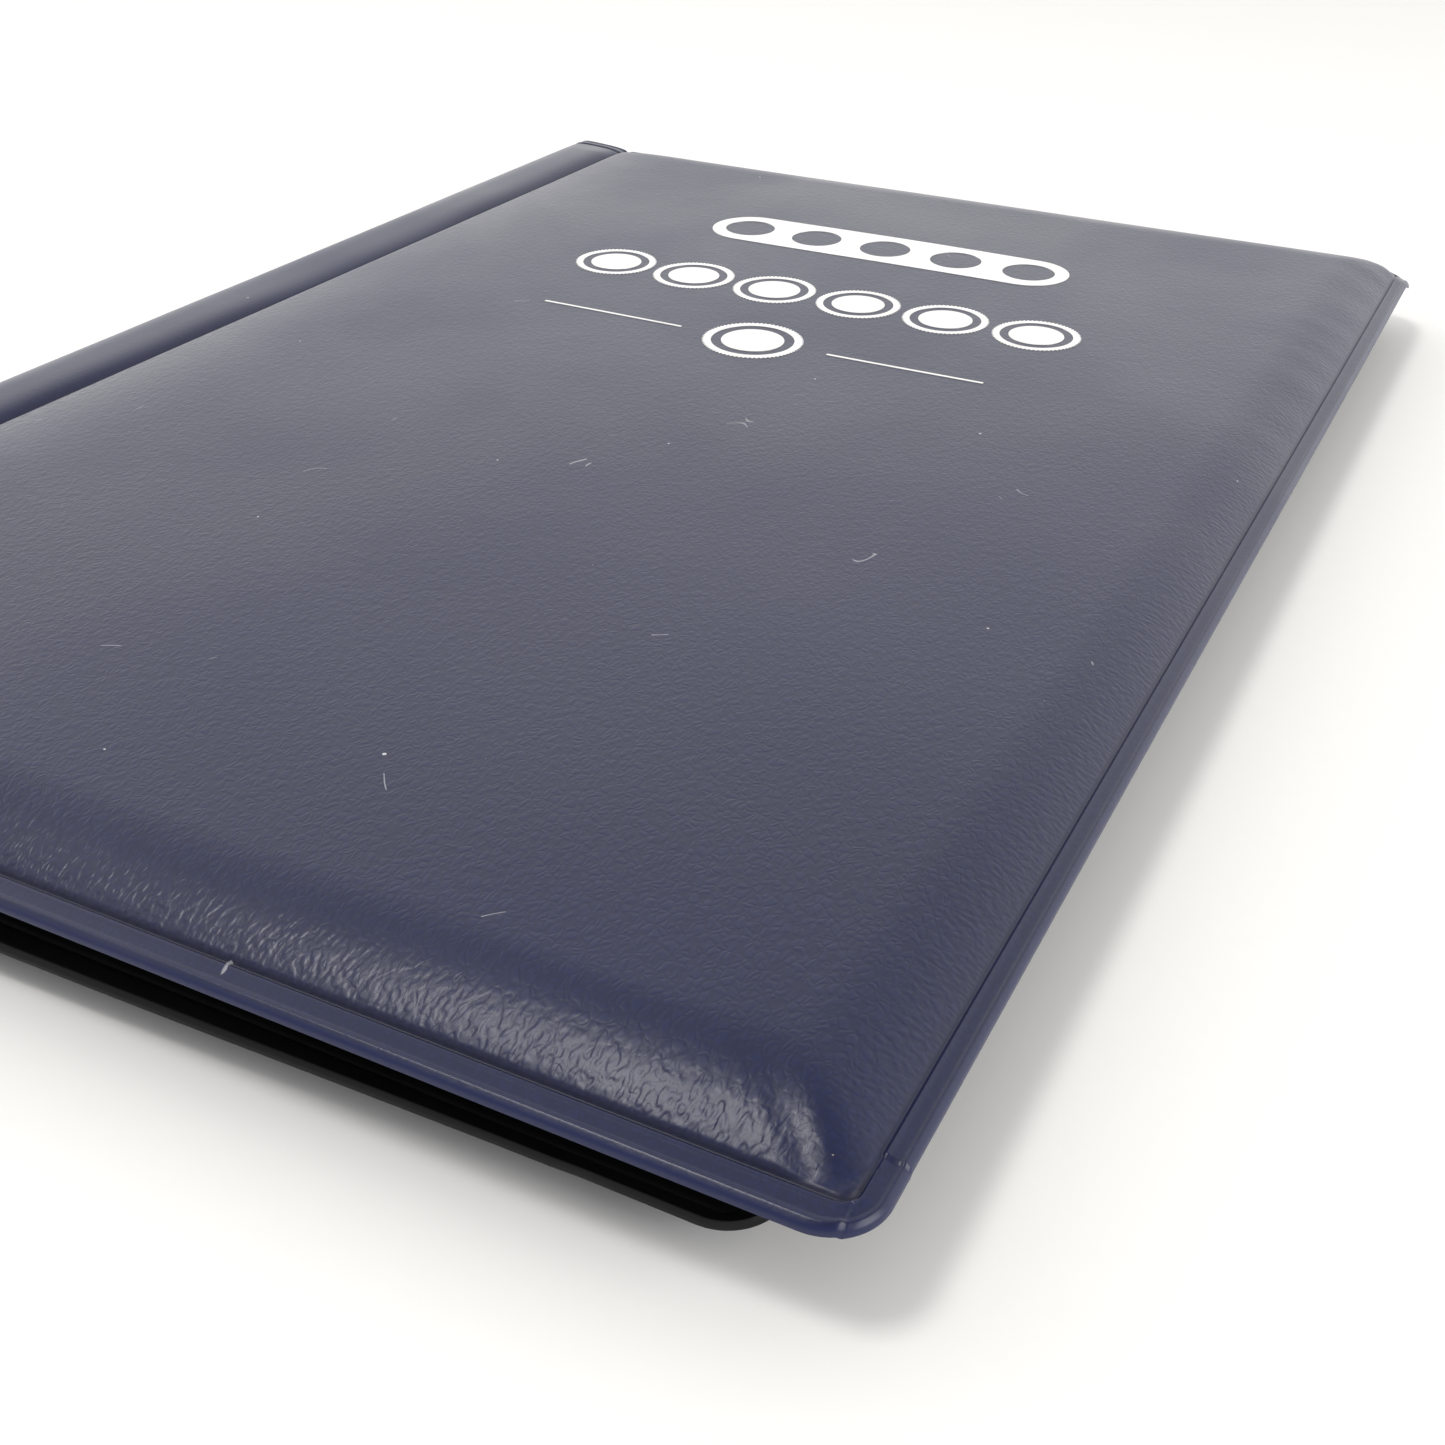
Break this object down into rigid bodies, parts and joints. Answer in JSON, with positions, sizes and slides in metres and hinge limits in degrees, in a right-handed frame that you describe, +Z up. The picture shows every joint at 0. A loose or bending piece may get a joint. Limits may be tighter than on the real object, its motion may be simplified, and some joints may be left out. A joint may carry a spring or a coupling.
{
  "type": "coin album",
  "caption": "Padded vinyl coin album with a soft rolled spine, a silver foil stamp and clear pocket leaves that fan as it opens.",
  "frame": {"origin": "middle of the face that the closed album rests on, under the back cover", "axes": "+X from the spine to the fore edge, +Y from the tail to the head, +Z up through the leaves to the front cover"},
  "size_m": [0.1398, 0.195, 0.0107],
  "materials": {
    "cover_vinyl": "padded, fine leather grain, satin",
    "spine_vinyl": "smooth satin",
    "black_lining": "smooth black vinyl",
    "foam": "open-cell foam sheet",
    "greyboard": "grey pulp board",
    "silver_foil": "hot-stamped matt silver foil",
    "black_film": "smooth black vinyl film",
    "clear_film": "clear soft film"
  },
  "bodies": {
    "back_cover": {"back_cover_skin": "cover_vinyl", "back_cover_foam": "foam", "back_cover_board": "greyboard", "back_cover_lining": "black_lining", "back_spine_strip": "spine_vinyl", "back_strip_lining": "black_lining"},
    "spine_wall": {"spine_wall_skin": "spine_vinyl", "spine_wall_lining": "black_lining", "leaf_binding_strip": "black_film"},
    "front_strip": {"front_spine_strip": "spine_vinyl", "front_strip_lining": "black_lining"},
    "front_cover": {"front_cover_skin": "cover_vinyl", "front_cover_foam": "foam", "front_cover_board": "greyboard", "front_cover_lining": "black_lining", "front_foil_stamp": "silver_foil"},
    "leaf_01": {"leaf_01_back_film": "black_film", "leaf_01_pocket_film": "clear_film"},
    "leaf_02": {"leaf_02_back_film": "black_film", "leaf_02_pocket_film": "clear_film"},
    "leaf_03": {"leaf_03_back_film": "black_film", "leaf_03_pocket_film": "clear_film"},
    "leaf_04": {"leaf_04_back_film": "black_film", "leaf_04_pocket_film": "clear_film"},
    "leaf_05": {"leaf_05_back_film": "black_film", "leaf_05_pocket_film": "clear_film"},
    "leaf_06": {"leaf_06_back_film": "black_film", "leaf_06_pocket_film": "clear_film"},
    "leaf_07": {"leaf_07_back_film": "black_film", "leaf_07_pocket_film": "clear_film"},
    "leaf_08": {"leaf_08_back_film": "black_film", "leaf_08_pocket_film": "clear_film"},
    "leaf_09": {"leaf_09_back_film": "black_film", "leaf_09_pocket_film": "clear_film"},
    "leaf_10": {"leaf_10_back_film": "black_film", "leaf_10_pocket_film": "clear_film"}
  },
  "joints": [
    {"name": "spine_roll", "type": "hinge", "parent": "back_cover", "child": "spine_wall", "pos_m": [-0.07027, 0, 0.00205], "axis": [0, -1, 0], "range_deg": [0, 66]},
    {"name": "spine_top_bend", "type": "hinge", "parent": "spine_wall", "child": "front_strip", "pos_m": [-0.06327, 0, 0.00855], "axis": [0, -1, 0], "range_deg": [0, 24]},
    {"name": "front_groove_hinge", "type": "hinge", "parent": "front_strip", "child": "front_cover", "pos_m": [-0.05477, 0, 0.00785], "axis": [0, -1, 0], "range_deg": [0, 96]},
    {"name": "leaf_01_turn", "type": "hinge", "parent": "spine_wall", "child": "leaf_01", "pos_m": [-0.06334, 0, 0.00705], "axis": [0, -1, 0], "range_deg": [0, 18.2]},
    {"name": "leaf_02_turn", "type": "hinge", "parent": "spine_wall", "child": "leaf_02", "pos_m": [-0.06376, 0, 0.00666], "axis": [0, -1, 0], "range_deg": [0, 9.8]},
    {"name": "leaf_03_turn", "type": "hinge", "parent": "spine_wall", "child": "leaf_03", "pos_m": [-0.06418, 0, 0.00628], "axis": [0, -1, 0], "range_deg": [0, 1.4]},
    {"name": "leaf_04_turn", "type": "hinge", "parent": "spine_wall", "child": "leaf_04", "pos_m": [-0.0646, 0, 0.00588], "axis": [0, -1, 0], "range_deg": [-7.4, 0]},
    {"name": "leaf_05_turn", "type": "hinge", "parent": "spine_wall", "child": "leaf_05", "pos_m": [-0.06502, 0, 0.00549], "axis": [0, -1, 0], "range_deg": [-15.8, 0]},
    {"name": "leaf_06_turn", "type": "hinge", "parent": "spine_wall", "child": "leaf_06", "pos_m": [-0.06544, 0, 0.00511], "axis": [0, -1, 0], "range_deg": [-24.2, 0]},
    {"name": "leaf_07_turn", "type": "hinge", "parent": "spine_wall", "child": "leaf_07", "pos_m": [-0.06586, 0, 0.00471], "axis": [0, -1, 0], "range_deg": [-32.6, 0]},
    {"name": "leaf_08_turn", "type": "hinge", "parent": "spine_wall", "child": "leaf_08", "pos_m": [-0.06628, 0, 0.00432], "axis": [0, -1, 0], "range_deg": [-41, 0]},
    {"name": "leaf_09_turn", "type": "hinge", "parent": "spine_wall", "child": "leaf_09", "pos_m": [-0.0667, 0, 0.00394], "axis": [0, -1, 0], "range_deg": [-49.4, 0]},
    {"name": "leaf_10_turn", "type": "hinge", "parent": "spine_wall", "child": "leaf_10", "pos_m": [-0.06712, 0, 0.00354], "axis": [0, -1, 0], "range_deg": [-57.8, 0]}
  ],
  "couplings": [
    {"joint": "spine_top_bend", "follows": "spine_roll", "ratio": 0.36364},
    {"joint": "leaf_01_turn", "follows": "spine_roll", "ratio": 0.27273},
    {"joint": "leaf_02_turn", "follows": "spine_roll", "ratio": 0.14545},
    {"joint": "leaf_03_turn", "follows": "spine_roll", "ratio": 0.01818},
    {"joint": "leaf_04_turn", "follows": "spine_roll", "ratio": -0.10909},
    {"joint": "leaf_05_turn", "follows": "spine_roll", "ratio": -0.23636},
    {"joint": "leaf_06_turn", "follows": "spine_roll", "ratio": -0.36364},
    {"joint": "leaf_07_turn", "follows": "spine_roll", "ratio": -0.49091},
    {"joint": "leaf_08_turn", "follows": "spine_roll", "ratio": -0.61818},
    {"joint": "leaf_09_turn", "follows": "spine_roll", "ratio": -0.74545},
    {"joint": "leaf_10_turn", "follows": "spine_roll", "ratio": -0.87273}
  ]
}
